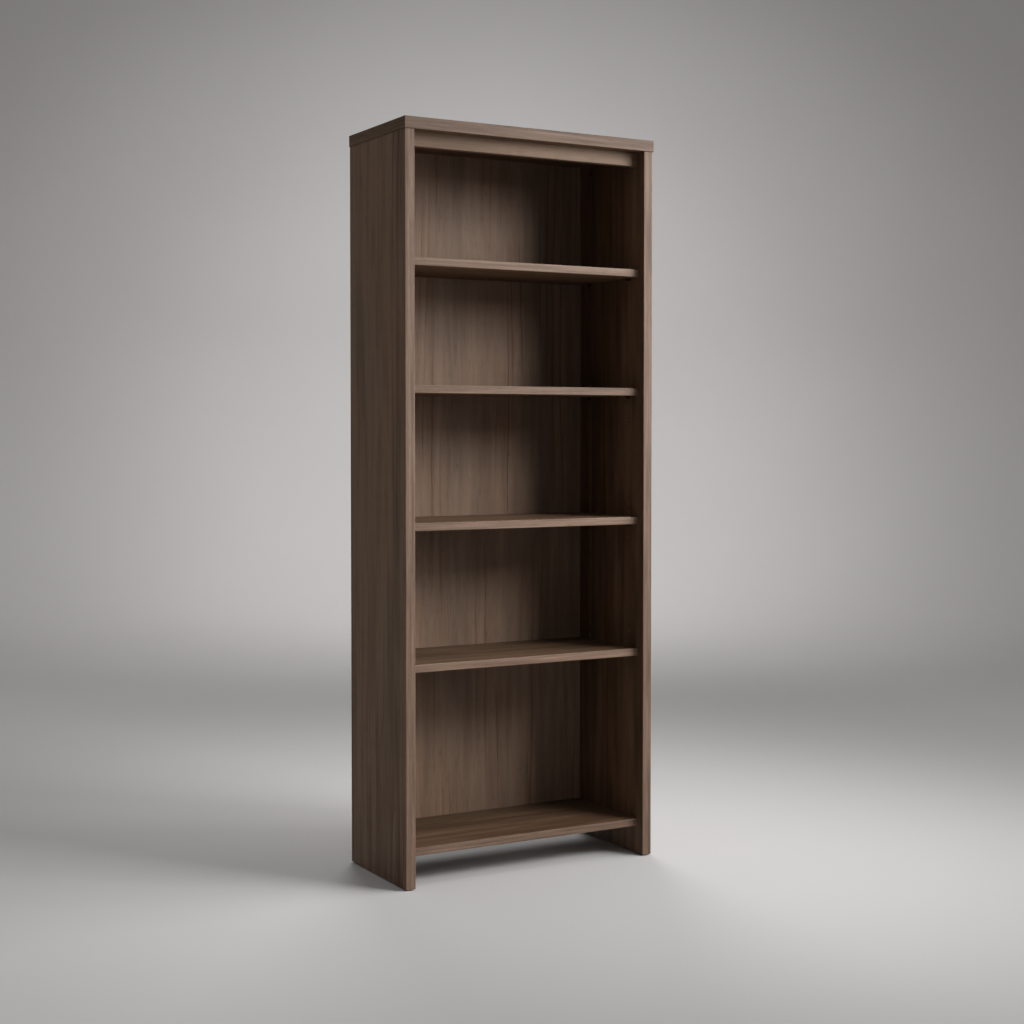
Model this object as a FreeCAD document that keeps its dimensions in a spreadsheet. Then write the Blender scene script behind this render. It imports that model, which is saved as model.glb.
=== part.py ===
# A tall bookcase with four adjustable shelves, as a parametric FreeCAD document.
#
# Millimetres. +Z is up, the open front faces -Y, and X runs from the left side to the right side. The origin
# is on the floor, under the middle of the top panel.
#
# Two side panels stand on nail-on glides and carry the top panel. A fixed bottom shelf and a front rail tie
# the sides together with cam locks, cam bolts and dowels. A thin back panel slides in grooves and is nailed
# to the bottom shelf. Each adjustable shelf lies loose on four pins, pushed into rows of holes in the sides.
# Every board that shows an edge has a plastic edge band glued to it, with its outer corners rounded.
import FreeCAD, Part
import os

import Sketcher
import PartDesign
import Spreadsheet

Vector = FreeCAD.Vector
RIGHT, BACK, UP = Vector(1, 0, 0), Vector(0, 1, 0), Vector(0, 0, 1)
LEFT, FRONT, DOWN = Vector(-1, 0, 0), Vector(0, -1, 0), Vector(0, 0, -1)

# name, size, what it is
SIZES = [
    ("case_height", 1800, "floor to the upper face of the top panel"),
    ("case_width", 688, "outer face to outer face of the side panels"),
    ("case_depth", 309, "front edge to back edge of a side panel"),
    ("side_thickness", 25, "side panel"),
    ("top_thickness", 28, "top panel"),
    ("top_front_overhang", 3, "top panel in front of the side panels"),
    ("top_side_overhang", 2, "top panel outside each side panel"),
    ("shelf_thickness", 19, "bottom shelf and adjustable shelves"),
    ("shelf_setback", 24, "front edges of the shelves behind those of the sides"),
    ("shelf_side_gap", 1, "between a shelf's end and the side panel"),
    ("shelf_back_gap", 1, "between a shelf's rear edge and the back panel"),
    ("bottom_shelf_height", 73, "floor to the underside of the bottom shelf"),
    ("compartment_1", 414, "clear height between the bottom shelf and shelf 1"),
    ("compartment_2", 314, "clear height between shelves 1 and 2"),
    ("compartment_3", 305, "clear height between shelves 2 and 3"),
    ("compartment_4", 279, "clear height between shelves 3 and 4"),
    ("compartment_5", 258, "clear height between shelf 4 and the front rail"),
    ("rail_height", 34, "front rail, from its lower edge to the top panel"),
    ("rail_thickness", 19, "front rail"),
    ("rail_setback", 33, "front face of the rail behind the front edges of the sides"),
    ("band_thickness", 2, "edge band"),
    ("edge_radius", 1.5, "outer corners of an edge band"),
    ("back_thickness", 3, "back panel"),
    ("back_inset", 6, "rear face of the back panel in front of the sides' rear edges"),
    ("groove_depth", 6, "grooves for the back panel"),
    ("groove_side_gap", 0.2, "between the back panel's face and the groove's wall"),
    ("groove_end_gap", 1, "between the back panel's edge and the groove's bottom"),
    ("pin_rows", 5, "holes in each group for one shelf pin"),
    ("pin_pitch", 32, "hole to hole in a group"),
    ("pin_hole_diameter", 5, "shelf pin hole"),
    ("pin_hole_depth", 10, "shelf pin hole"),
    ("pin_fit_gap", 0.05, "between the pin's shank and the wall of its hole"),
    ("pin_shank_length", 9, "pin inside its hole"),
    ("pin_tip_chamfer", 0.8, "end of the pin's shank"),
    ("pin_head_radius", 4.75, "round underside of the pin's head"),
    ("pin_head_flat", 2.5, "the head's flat seat above the pin's axis"),
    ("pin_head_length", 10, "head, out from the side panel"),
    ("pin_nose_radius", 0.8, "outer edge of the head"),
    ("pin_front_distance", 64, "front pins behind the front edges of the sides"),
    ("pin_back_distance", 50, "rear pins in front of the back panel"),
    ("cam_diameter", 15, "hole for a cam lock"),
    ("cam_wall_gap", 0.1, "between a cam and the wall of its hole"),
    ("cam_floor_gap", 0.5, "between a cam and the bottom of its hole"),
    ("cam_setback", 24, "cam centre to the joint between the two boards"),
    ("cam_below_bolt", 4, "cam body beyond the bolt's axis"),
    ("cam_slot_gap", 0.3, "between the bolt and the walls of the cam's slot"),
    ("cam_cross_length", 7.5, "screwdriver recess in the cam"),
    ("cam_cross_width", 1.4, "screwdriver recess in the cam"),
    ("cam_cross_depth", 2.5, "screwdriver recess in the cam"),
    ("cam_front_distance", 75, "front cams behind the front edges of the sides"),
    ("cam_back_distance", 50, "rear cams in front of the back panel"),
    ("bolt_pilot_diameter", 5, "hole that a cam bolt is screwed into"),
    ("bolt_pilot_gap", 0.05, "between the bolt's thread and its hole"),
    ("bolt_thread_length", 11, "thread in the board"),
    ("bolt_end_gap", 1, "between the thread's tip and the bottom of its hole"),
    ("bolt_hole_diameter", 8, "hole for the bolt's shank in the board with the cam"),
    ("bolt_shank_diameter", 6, "shank"),
    ("bolt_neck_diameter", 4, "neck that the cam grips"),
    ("bolt_head_diameter", 6.4, "head that the cam pulls on"),
    ("bolt_head_length", 3, "head"),
    ("bolt_head_overrun", 2, "head beyond the cam's centre"),
    ("dowel_diameter", 8, "dowel hole"),
    ("dowel_wall_gap", 0.1, "between a dowel and the wall of its hole"),
    ("dowel_end_gap", 1, "between a dowel's end and the bottom of its hole"),
    ("dowel_length", 30, "dowel"),
    ("dowel_seat", 12, "dowel in the board that takes it in its face"),
    ("dowel_chamfer", 1, "ends of a dowel"),
    ("rail_dowel_distance", 150, "rail's outer dowels from the rail's ends"),
    ("glide_height", 3, "glide between the side panel and the floor"),
    ("glide_diameter", 20, "glide"),
    ("glide_rim", 1, "chamfer round the glide's foot"),
    ("glide_nail_diameter", 1.8, "nail moulded into the glide"),
    ("glide_nail_length", 13, "nail in the side panel"),
    ("glide_nail_gap", 0.1, "round the nail"),
    ("glide_distance", 35, "glide's centre from the front or back edge of the side"),
    ("nail_count", 7, "nails through the back panel"),
    ("nail_diameter", 1.4, "shank"),
    ("nail_length", 20, "shank and point, under the head"),
    ("nail_point", 2, "point"),
    ("nail_gap", 0.05, "round the shank"),
    ("nail_head_diameter", 4, "head"),
    ("nail_head_thickness", 0.8, "head"),
    ("nail_end_distance", 40, "outer nails from the side panels"),
]

doc = FreeCAD.newDocument("Bookcase")
sheet = doc.addObject("Spreadsheet::Sheet", "Sizes")
for row, (alias, size, meaning) in enumerate(SIZES, 1):
    sheet.set(f"A{row}", alias)
    sheet.set(f"B{row}", str(size))
    sheet.setAlias(f"B{row}", alias)
    sheet.set(f"C{row}", meaning)
doc.recompute()

# Places that several pieces share, as formulas on the sheet. X and Y are from the middle, Z from the floor.
TOP_WIDTH = "(Sizes.case_width + 2 * Sizes.top_side_overhang)"
TOP_DEPTH = "(Sizes.case_depth + Sizes.top_front_overhang)"
INNER_HALF = "(Sizes.case_width / 2 - Sizes.side_thickness)"
INNER_WIDTH = "(Sizes.case_width - 2 * Sizes.side_thickness)"
CASE_FRONT = f"(Sizes.top_front_overhang - {TOP_DEPTH} / 2)"
TOP_UNDERSIDE = "(Sizes.case_height - Sizes.top_thickness)"
SIDE_HEIGHT = f"({TOP_UNDERSIDE} - Sizes.glide_height)"
BACK_FACE = "(Sizes.case_depth - Sizes.back_inset - Sizes.back_thickness)"
SHELF_DEPTH = f"({BACK_FACE} - Sizes.shelf_setback - Sizes.shelf_back_gap)"
BOTTOM_DEPTH = f"({BACK_FACE} - Sizes.shelf_setback)"
BOTTOM_TOP = "(Sizes.bottom_shelf_height + Sizes.shelf_thickness)"
RAIL_MIDDLE = f"({TOP_UNDERSIDE} - Sizes.rail_height / 2)"
RAIL_CENTRE = "(Sizes.rail_setback + Sizes.rail_thickness / 2)"
BOTTOM_MIDDLE = "(Sizes.bottom_shelf_height + Sizes.shelf_thickness / 2)"
GROOVE_FRONT = f"({BACK_FACE} - Sizes.groove_side_gap)"
GROOVE_WIDTH = "(Sizes.back_thickness + 2 * Sizes.groove_side_gap)"
PIN_COLUMNS = {"front": "Sizes.pin_front_distance", "rear": f"({BACK_FACE} - Sizes.pin_back_distance)"}
CAM_COLUMNS = {"front": "Sizes.cam_front_distance", "rear": f"({BACK_FACE} - Sizes.cam_back_distance)"}
DOWEL_COLUMN = f"(({CAM_COLUMNS['front']} + {CAM_COLUMNS['rear']}) / 2)"
GLIDE_COLUMNS = {"front": "Sizes.glide_distance", "rear": "(Sizes.case_depth - Sizes.glide_distance)"}
SIDES = {"left": LEFT, "right": RIGHT}
SHELVES = (1, 2, 3, 4)
COMPARTMENTS = (1, 2, 3, 4, 5)

# The compartments' heights and the boards add up to the case's height. What is left over, or lacking, when
# one of them is changed, is shared out between the compartments.
NAMED_HEIGHTS = " + ".join(f"Sizes.compartment_{number}" for number in COMPARTMENTS)
BOARD_HEIGHTS = f"{BOTTOM_TOP} + {len(SHELVES)} * Sizes.shelf_thickness + Sizes.rail_height"
SPARE_HEIGHT = f"(({TOP_UNDERSIDE} - ({BOARD_HEIGHTS}) - ({NAMED_HEIGHTS})) / {len(COMPARTMENTS)})"


def shelf_underside(number):
    """Formula: floor to the underside of an adjustable shelf."""
    compartments = " + ".join(f"Sizes.compartment_{below}" for below in range(1, number + 1))
    boards = f"{number - 1} * Sizes.shelf_thickness"
    return f"({BOTTOM_TOP} + {compartments} + {boards} + {number} * {SPARE_HEIGHT})"


def pin_axis(number):
    """Formula: floor to the axis of the pins under an adjustable shelf."""
    return f"({shelf_underside(number)} - Sizes.pin_head_flat)"


def evaluate(formula):
    """The number that a formula on the sheet has now."""
    return float(sheet.evalExpression(formula))


# Sketches and features ------------------------------------------------------------------------------------


def new_body(label):
    """An empty body with its own label."""
    body = doc.addObject("PartDesign::Body", label)
    body.Label = label
    return body


def new_sketch(body, plane, offset="0"):
    """A sketch on one of the body's origin planes, moved along the plane's normal by a formula."""
    sketch = body.newObject("Sketcher::SketchObject", f"{body.Name}_sketch")
    origin_plane = next(f for f in body.Origin.OriginFeatures if f.Role == plane)
    sketch.AttachmentSupport = [(origin_plane, "")]
    sketch.MapMode = "FlatFace"
    sketch.setExpression("AttachmentOffset.Base.z", offset)
    return sketch


def drive(sketch, kind, *places, formula):
    """Adds a dimension to a sketch and binds it to a formula."""
    index = sketch.addConstraint(Sketcher.Constraint(kind, *places, evaluate(formula)))
    sketch.setExpression(f"Constraints[{index}]", formula)


def fix_point(sketch, geometry, end, x, y):
    """Ties a point of a sketch's geometry to its two coordinates."""
    if x == "0":
        sketch.addConstraint(Sketcher.Constraint("PointOnObject", geometry, end, -2))
    else:
        drive(sketch, "DistanceX", -1, 1, geometry, end, formula=x)
    if y == "0":
        sketch.addConstraint(Sketcher.Constraint("PointOnObject", geometry, end, -1))
    else:
        drive(sketch, "DistanceY", -1, 1, geometry, end, formula=y)


def draw_outline(sketch, corners):
    """Closes a polygon through corners, each given as two formulas."""
    points = [Vector(evaluate(x), evaluate(y), 0) for x, y in corners]
    for start, end in zip(points, points[1:] + points[:1]):
        sketch.addGeometry(Part.LineSegment(start, end), False)
    for line, (x, y) in enumerate(corners):
        following = (line + 1) % len(corners)
        sketch.addConstraint(Sketcher.Constraint("Coincident", line, 2, following, 1))
        fix_point(sketch, line, 1, x, y)


def draw_rectangle(sketch, left, bottom, width, height):
    """A rectangle from its lower left corner and its two sides."""
    right = f"({left} + {width})"
    top = f"({bottom} + {height})"
    draw_outline(sketch, [(left, bottom), (right, bottom), (right, top), (left, top)])


def draw_circles(sketch, centres, diameter):
    """Circles of one diameter about centres, each given as two formulas."""
    for x, y in centres:
        centre = Vector(evaluate(x), evaluate(y), 0)
        circle = sketch.addGeometry(Part.Circle(centre, UP, evaluate(diameter) / 2), False)
        fix_point(sketch, circle, 3, x, y)
        drive(sketch, "Diameter", circle, formula=diameter)


def pad(body, sketch, length, backwards=False):
    """Adds material from a sketch, along its normal or backwards."""
    feature = body.newObject("PartDesign::Pad", f"{body.Name}_pad")
    feature.Profile = sketch
    feature.Reversed = backwards
    feature.setExpression("Length", length)
    doc.recompute()
    return feature


def pocket(body, sketch, depth, along_normal=False):
    """Cuts a sketch into the body, against its normal or along it, and checks that material went."""
    before = body.Shape.Volume
    feature = body.newObject("PartDesign::Pocket", f"{body.Name}_pocket")
    feature.Profile = sketch
    feature.Reversed = along_normal
    feature.setExpression("Length", depth)
    doc.recompute()
    if body.Shape.Volume >= before:
        raise RuntimeError(f"{feature.Name} cuts nothing out of {body.Label}")
    return feature


def turn(body, sketch, axis):
    """Revolves a half profile about one of its sketch's own axes."""
    feature = body.newObject("PartDesign::Revolution", f"{body.Name}_turning")
    feature.Profile = sketch
    feature.ReferenceAxis = (sketch, [axis])
    feature.Angle = 360
    doc.recompute()
    return feature


def repeat_along(body, feature, direction, length, count):
    """Repeats a feature along a sketch's axis, as the body's new tip."""
    pattern = body.newObject("PartDesign::LinearPattern", f"{body.Name}_pattern")
    pattern.Originals = [feature]
    pattern.Direction = (feature.Profile[0], [direction])
    pattern.setExpression("Length", length)
    pattern.setExpression("Occurrences", count)
    body.Tip = pattern
    doc.recompute()
    return pattern


def round_edges(body, chosen, radius):
    """Fillets the edges of the body that chosen accepts."""
    names = [f"Edge{i}" for i, edge in enumerate(body.Shape.Edges, 1) if chosen(edge)]
    base = body.Tip
    feature = body.newObject("PartDesign::Fillet", f"{body.Name}_rounding")
    feature.Base = (base, names)
    feature.setExpression("Radius", radius)
    doc.recompute()
    return feature


def place(piece, x, y, z, rotation=FreeCAD.Rotation()):
    """Turns a piece and puts its own origin where three formulas say."""
    piece.Placement = FreeCAD.Placement(Vector(), rotation)
    for axis, formula in zip("xyz", (x, y, z)):
        piece.setExpression(f"Placement.Base.{axis}", formula)
    return piece


def facing(outward, upward):
    """The rotation that takes a piece's own Z to outward and its own Y to upward."""
    return FreeCAD.Rotation(upward.cross(outward), upward, outward, "ZYX")


def gather(label, pieces):
    """One node that holds several separate solids, such as identical fasteners."""
    group = doc.addObject("Part::Compound", label)
    group.Label = label
    group.Links = pieces
    return group


def mirror_to_right(piece, label):
    """The right-hand twin of a piece, mirrored in the plane between the two sides."""
    twin = doc.addObject("Part::Mirroring", label)
    twin.Label = label
    twin.Source = piece
    twin.Base = Vector()
    twin.Normal = RIGHT
    return twin


# Holes that two boards share ------------------------------------------------------------------------------

PILOT_DEPTH = "(Sizes.bolt_thread_length + Sizes.bolt_end_gap)"
BOLT_HOLE_DEPTH = "(Sizes.cam_setback + Sizes.bolt_head_overrun + Sizes.bolt_end_gap)"
DOWEL_FACE_DEPTH = "(Sizes.dowel_seat + Sizes.dowel_end_gap)"
DOWEL_END_DEPTH = "(Sizes.dowel_length - Sizes.dowel_seat + Sizes.dowel_end_gap)"


def cam_height(board_thickness):
    """Formula: a cam's height, so that it grips a bolt in the middle of the board's thickness."""
    return f"({board_thickness} / 2 + Sizes.cam_below_bolt)"


def cam_hole_depth(board_thickness):
    """Formula: the depth of the hole that such a cam drops into."""
    return f"({cam_height(board_thickness)} + Sizes.cam_floor_gap)"


# Boards ---------------------------------------------------------------------------------------------------


def cut_pin_holes(body):
    """The groups of shelf pin holes in a side panel's inner face, one group for each shelf and column."""
    rows_below = "floor((Sizes.pin_rows - 1) / 2)"
    for shelf in SHELVES:
        lowest = f"({pin_axis(shelf)} - Sizes.glide_height - {rows_below} * Sizes.pin_pitch)"
        sketch = new_sketch(body, "YZ_Plane", "Sizes.side_thickness")
        draw_circles(sketch, [(y, lowest) for y in PIN_COLUMNS.values()], "Sizes.pin_hole_diameter")
        holes = pocket(body, sketch, "Sizes.pin_hole_depth")
        repeat_along(body, holes, "V_Axis", "(Sizes.pin_rows - 1) * Sizes.pin_pitch", "Sizes.pin_rows")


def make_left_side_panel():
    """A side panel without its edge band. Its own X runs from the outer face to the inner face."""
    body = new_body("left_side_panel")
    sketch = new_sketch(body, "YZ_Plane")
    core_depth = "(Sizes.case_depth - Sizes.band_thickness)"
    draw_rectangle(sketch, "Sizes.band_thickness", "0", core_depth, SIDE_HEIGHT)
    pad(body, sketch, "Sizes.side_thickness")

    groove = new_sketch(body, "YZ_Plane", "Sizes.side_thickness")
    draw_rectangle(groove, GROOVE_FRONT, "0", GROOVE_WIDTH, SIDE_HEIGHT)
    pocket(body, groove, "Sizes.groove_depth")

    cut_pin_holes(body)

    middle = "(Sizes.side_thickness / 2)"
    cam_centre = f"({SIDE_HEIGHT} - Sizes.cam_setback)"
    cams = new_sketch(body, "YZ_Plane", "Sizes.side_thickness")
    draw_circles(cams, [(y, cam_centre) for y in CAM_COLUMNS.values()], "Sizes.cam_diameter")
    pocket(body, cams, cam_hole_depth("Sizes.side_thickness"))
    bolts = new_sketch(body, "XY_Plane", SIDE_HEIGHT)
    draw_circles(bolts, [(middle, y) for y in CAM_COLUMNS.values()], "Sizes.bolt_hole_diameter")
    pocket(body, bolts, BOLT_HOLE_DEPTH)
    top_dowel = new_sketch(body, "XY_Plane", SIDE_HEIGHT)
    draw_circles(top_dowel, [(middle, DOWEL_COLUMN)], "Sizes.dowel_diameter")
    pocket(body, top_dowel, DOWEL_END_DEPTH)

    bottom_centre = f"({BOTTOM_MIDDLE} - Sizes.glide_height)"
    rail_centre = f"({RAIL_MIDDLE} - Sizes.glide_height)"
    pilots = new_sketch(body, "YZ_Plane", "Sizes.side_thickness")
    pilot_centres = [(y, bottom_centre) for y in CAM_COLUMNS.values()] + [(RAIL_CENTRE, rail_centre)]
    draw_circles(pilots, pilot_centres, "Sizes.bolt_pilot_diameter")
    pocket(body, pilots, PILOT_DEPTH)
    bottom_dowel = new_sketch(body, "YZ_Plane", "Sizes.side_thickness")
    draw_circles(bottom_dowel, [(DOWEL_COLUMN, bottom_centre)], "Sizes.dowel_diameter")
    pocket(body, bottom_dowel, DOWEL_FACE_DEPTH)

    glide_nails = new_sketch(body, "XY_Plane")
    nail_hole = "(Sizes.glide_nail_diameter + 2 * Sizes.glide_nail_gap)"
    draw_circles(glide_nails, [(middle, y) for y in GLIDE_COLUMNS.values()], nail_hole)
    pocket(body, glide_nails, "(Sizes.glide_nail_length + Sizes.bolt_end_gap)", along_normal=True)
    return place(body, "-Sizes.case_width / 2", CASE_FRONT, "Sizes.glide_height")


def make_top_panel():
    """The top panel without its edge bands, with its joints in its underside."""
    body = new_body("top_panel")
    band = "Sizes.band_thickness"
    sketch = new_sketch(body, "XY_Plane")
    draw_rectangle(sketch, band, band, f"({TOP_WIDTH} - 2 * {band})", f"({TOP_DEPTH} - {band})")
    pad(body, sketch, "Sizes.top_thickness")

    front = "Sizes.top_front_overhang"
    left_middle = "(Sizes.top_side_overhang + Sizes.side_thickness / 2)"
    middles = [left_middle, f"({TOP_WIDTH} - {left_middle})"]
    pilots = new_sketch(body, "XY_Plane")
    columns = [f"({front} + {y})" for y in CAM_COLUMNS.values()]
    draw_circles(pilots, [(x, y) for x in middles for y in columns], "Sizes.bolt_pilot_diameter")
    pocket(body, pilots, PILOT_DEPTH, along_normal=True)

    rail_y = f"({front} + {RAIL_CENTRE})"
    dowels = new_sketch(body, "XY_Plane")
    side_dowels = [(x, f"({front} + {DOWEL_COLUMN})") for x in middles]
    rail_dowels = [(f"({TOP_WIDTH} / 2 + {x})", rail_y) for x in rail_dowel_places()]
    draw_circles(dowels, side_dowels + rail_dowels, "Sizes.dowel_diameter")
    pocket(body, dowels, DOWEL_FACE_DEPTH, along_normal=True)

    groove = new_sketch(body, "XY_Plane")
    groove_left = "(Sizes.top_side_overhang + Sizes.side_thickness - Sizes.groove_depth)"
    groove_length = f"({INNER_WIDTH} + 2 * Sizes.groove_depth)"
    draw_rectangle(groove, groove_left, f"({front} + {GROOVE_FRONT})", groove_length, GROOVE_WIDTH)
    pocket(body, groove, "Sizes.groove_depth", along_normal=True)
    return place(body, f"-{TOP_WIDTH} / 2", f"-{TOP_DEPTH} / 2", TOP_UNDERSIDE)


def make_bottom_shelf():
    """The fixed shelf without its edge band: cams in its underside, nail holes in its rear edge."""
    body = new_body("bottom_shelf")
    band = "Sizes.band_thickness"
    sketch = new_sketch(body, "XY_Plane")
    draw_rectangle(sketch, "0", band, INNER_WIDTH, f"({BOTTOM_DEPTH} - {band})")
    pad(body, sketch, "Sizes.shelf_thickness")

    middle = "(Sizes.shelf_thickness / 2)"
    columns = [f"({y} - Sizes.shelf_setback)" for y in CAM_COLUMNS.values()]
    cams = new_sketch(body, "XY_Plane")
    centres = ["Sizes.cam_setback", f"({INNER_WIDTH} - Sizes.cam_setback)"]
    draw_circles(cams, [(x, y) for x in centres for y in columns], "Sizes.cam_diameter")
    pocket(body, cams, cam_hole_depth("Sizes.shelf_thickness"), along_normal=True)
    for end, inward in (("0", True), (INNER_WIDTH, False)):
        bolts = new_sketch(body, "YZ_Plane", end)
        draw_circles(bolts, [(y, middle) for y in columns], "Sizes.bolt_hole_diameter")
        pocket(body, bolts, BOLT_HOLE_DEPTH, along_normal=inward)
        dowel = new_sketch(body, "YZ_Plane", end)
        draw_circles(dowel, [(f"({DOWEL_COLUMN} - Sizes.shelf_setback)", middle)], "Sizes.dowel_diameter")
        pocket(body, dowel, DOWEL_END_DEPTH, along_normal=inward)

    nails = new_sketch(body, "XZ_Plane", f"-{BOTTOM_DEPTH}")
    draw_circles(nails, [("Sizes.nail_end_distance", middle)], NAIL_HOLE)
    nail_depth = "(Sizes.nail_length - Sizes.back_thickness + Sizes.bolt_end_gap)"
    first = pocket(body, nails, nail_depth, along_normal=True)
    repeat_along(body, first, "H_Axis", NAIL_SPAN, "Sizes.nail_count")
    return place(body, f"-{INNER_HALF}", f"({CASE_FRONT} + Sizes.shelf_setback)", "Sizes.bottom_shelf_height")


def make_adjustable_shelf(number):
    """A loose shelf without its edge band: a plain board that lies on its four pins."""
    body = new_body(f"shelf_{number}")
    width = f"({INNER_WIDTH} - 2 * Sizes.shelf_side_gap)"
    core_depth = f"({SHELF_DEPTH} - Sizes.band_thickness)"
    sketch = new_sketch(body, "XY_Plane")
    draw_rectangle(sketch, "0", "Sizes.band_thickness", width, core_depth)
    pad(body, sketch, "Sizes.shelf_thickness")
    left_end = f"(Sizes.shelf_side_gap - {INNER_HALF})"
    return place(body, left_end, f"({CASE_FRONT} + Sizes.shelf_setback)", shelf_underside(number))


def rail_dowel_places():
    """Formulas: the rail's three dowels, across from the middle."""
    outer = f"({INNER_HALF} - Sizes.rail_dowel_distance)"
    return [f"-{outer}", "0", outer]


def make_front_rail():
    """The rail under the top panel: a cam at each end of its rear face, dowels in its upper edge."""
    body = new_body("front_rail")
    band = "Sizes.band_thickness"
    sketch = new_sketch(body, "XY_Plane", band)
    draw_rectangle(sketch, "0", "0", INNER_WIDTH, "Sizes.rail_thickness")
    pad(body, sketch, f"(Sizes.rail_height - {band})")

    middle = "(Sizes.rail_height / 2)"
    cams = new_sketch(body, "XZ_Plane", "-Sizes.rail_thickness")
    centres = ["Sizes.cam_setback", f"({INNER_WIDTH} - Sizes.cam_setback)"]
    draw_circles(cams, [(x, middle) for x in centres], "Sizes.cam_diameter")
    pocket(body, cams, cam_hole_depth("Sizes.rail_thickness"), along_normal=True)
    for end, inward in (("0", True), (INNER_WIDTH, False)):
        bolt = new_sketch(body, "YZ_Plane", end)
        draw_circles(bolt, [("(Sizes.rail_thickness / 2)", middle)], "Sizes.bolt_hole_diameter")
        pocket(body, bolt, BOLT_HOLE_DEPTH, along_normal=inward)

    dowels = new_sketch(body, "XY_Plane", "Sizes.rail_height")
    places = [f"({INNER_HALF} + {x})" for x in rail_dowel_places()]
    draw_circles(dowels, [(x, "(Sizes.rail_thickness / 2)") for x in places], "Sizes.dowel_diameter")
    pocket(body, dowels, DOWEL_END_DEPTH)
    rail_underside = f"({TOP_UNDERSIDE} - Sizes.rail_height)"
    return place(body, f"-{INNER_HALF}", f"({CASE_FRONT} + Sizes.rail_setback)", rail_underside)


NAIL_HOLE = "(Sizes.nail_diameter + 2 * Sizes.nail_gap)"
NAIL_SPAN = f"({INNER_WIDTH} - 2 * Sizes.nail_end_distance)"


def make_back_panel():
    """The thin back: it reaches into the sides' and the top's grooves and ends level with the bottom shelf."""
    body = new_body("back_panel")
    reach = "(Sizes.groove_depth - Sizes.groove_end_gap)"
    height = f"({TOP_UNDERSIDE} + {reach} - Sizes.bottom_shelf_height)"
    sketch = new_sketch(body, "XZ_Plane")
    draw_rectangle(sketch, "0", "0", f"({INNER_WIDTH} + 2 * {reach})", height)
    pad(body, sketch, "Sizes.back_thickness", backwards=True)
    nails = new_sketch(body, "XZ_Plane")
    first_nail = (f"({reach} + Sizes.nail_end_distance)", "(Sizes.shelf_thickness / 2)")
    draw_circles(nails, [first_nail], NAIL_HOLE)
    first = pocket(body, nails, "Sizes.back_thickness")
    repeat_along(body, first, "H_Axis", NAIL_SPAN, "Sizes.nail_count")
    left_edge = f"-({INNER_HALF} + {reach})"
    return place(body, left_edge, f"({CASE_FRONT} + {BACK_FACE})", "Sizes.bottom_shelf_height")


# Edge bands -----------------------------------------------------------------------------------------------


def make_edge_band(label, length, board_thickness, rounded_ends=False):
    """A strip along its own X, as wide as the board is thick, with its outer corners (own Z) rounded."""
    body = new_body(label)
    sketch = new_sketch(body, "XY_Plane")
    draw_rectangle(sketch, "0", "0", length, board_thickness)
    pad(body, sketch, "Sizes.band_thickness")
    outer, near = evaluate("Sizes.band_thickness"), 1e-6
    ends = (0.0, evaluate(length))

    def on_the_outside(edge):
        if any(abs(v.Point.z - outer) > near for v in edge.Vertexes):
            return False
        at_end = any(all(abs(v.Point.x - end) < near for v in edge.Vertexes) for end in ends)
        return rounded_ends or not at_end

    round_edges(body, on_the_outside, "min(Sizes.edge_radius; Sizes.band_thickness * 0.95)")
    return body


def make_edge_bands():
    """Every edge band, in place on the board that it is glued to."""
    shelf_front = f"({CASE_FRONT} + Sizes.shelf_setback + Sizes.band_thickness)"
    side = make_edge_band("left_side_edge_band", SIDE_HEIGHT, "Sizes.side_thickness")
    side_front = f"({CASE_FRONT} + Sizes.band_thickness)"
    place(side, f"-{INNER_HALF}", side_front, "Sizes.glide_height", facing(FRONT, LEFT))

    top_front = make_edge_band("top_front_edge_band", TOP_WIDTH, "Sizes.top_thickness", rounded_ends=True)
    top_band_back = f"(Sizes.band_thickness - {TOP_DEPTH} / 2)"
    place(top_front, f"-{TOP_WIDTH} / 2", top_band_back, TOP_UNDERSIDE, facing(FRONT, UP))
    end_length = f"({TOP_DEPTH} - Sizes.band_thickness)"
    top_left = make_edge_band("top_left_edge_band", end_length, "Sizes.top_thickness")
    left_end = f"(Sizes.band_thickness - {TOP_WIDTH} / 2)"
    place(top_left, left_end, f"{TOP_DEPTH} / 2", TOP_UNDERSIDE, facing(LEFT, UP))

    bottom = make_edge_band("bottom_shelf_edge_band", INNER_WIDTH, "Sizes.shelf_thickness")
    place(bottom, f"-{INNER_HALF}", shelf_front, "Sizes.bottom_shelf_height", facing(FRONT, UP))

    rail = make_edge_band("front_rail_edge_band", INNER_WIDTH, "Sizes.rail_thickness")
    rail_back = f"({CASE_FRONT} + Sizes.rail_setback + Sizes.rail_thickness)"
    rail_joint = f"({TOP_UNDERSIDE} - Sizes.rail_height + Sizes.band_thickness)"
    place(rail, f"-{INNER_HALF}", rail_back, rail_joint, facing(DOWN, FRONT))

    shelf_bands = []
    for number in SHELVES:
        shelf_length = f"({INNER_WIDTH} - 2 * Sizes.shelf_side_gap)"
        band = make_edge_band(f"shelf_{number}_edge_band", shelf_length, "Sizes.shelf_thickness")
        left_end = f"(Sizes.shelf_side_gap - {INNER_HALF})"
        place(band, left_end, shelf_front, shelf_underside(number), facing(FRONT, UP))
        shelf_bands.append(band)

    twins = [
        mirror_to_right(side, "right_side_edge_band"),
        mirror_to_right(top_left, "top_right_edge_band"),
    ]
    return [side, top_front, top_left, bottom, rail] + shelf_bands + twins


# Fasteners ------------------------------------------------------------------------------------------------


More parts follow.
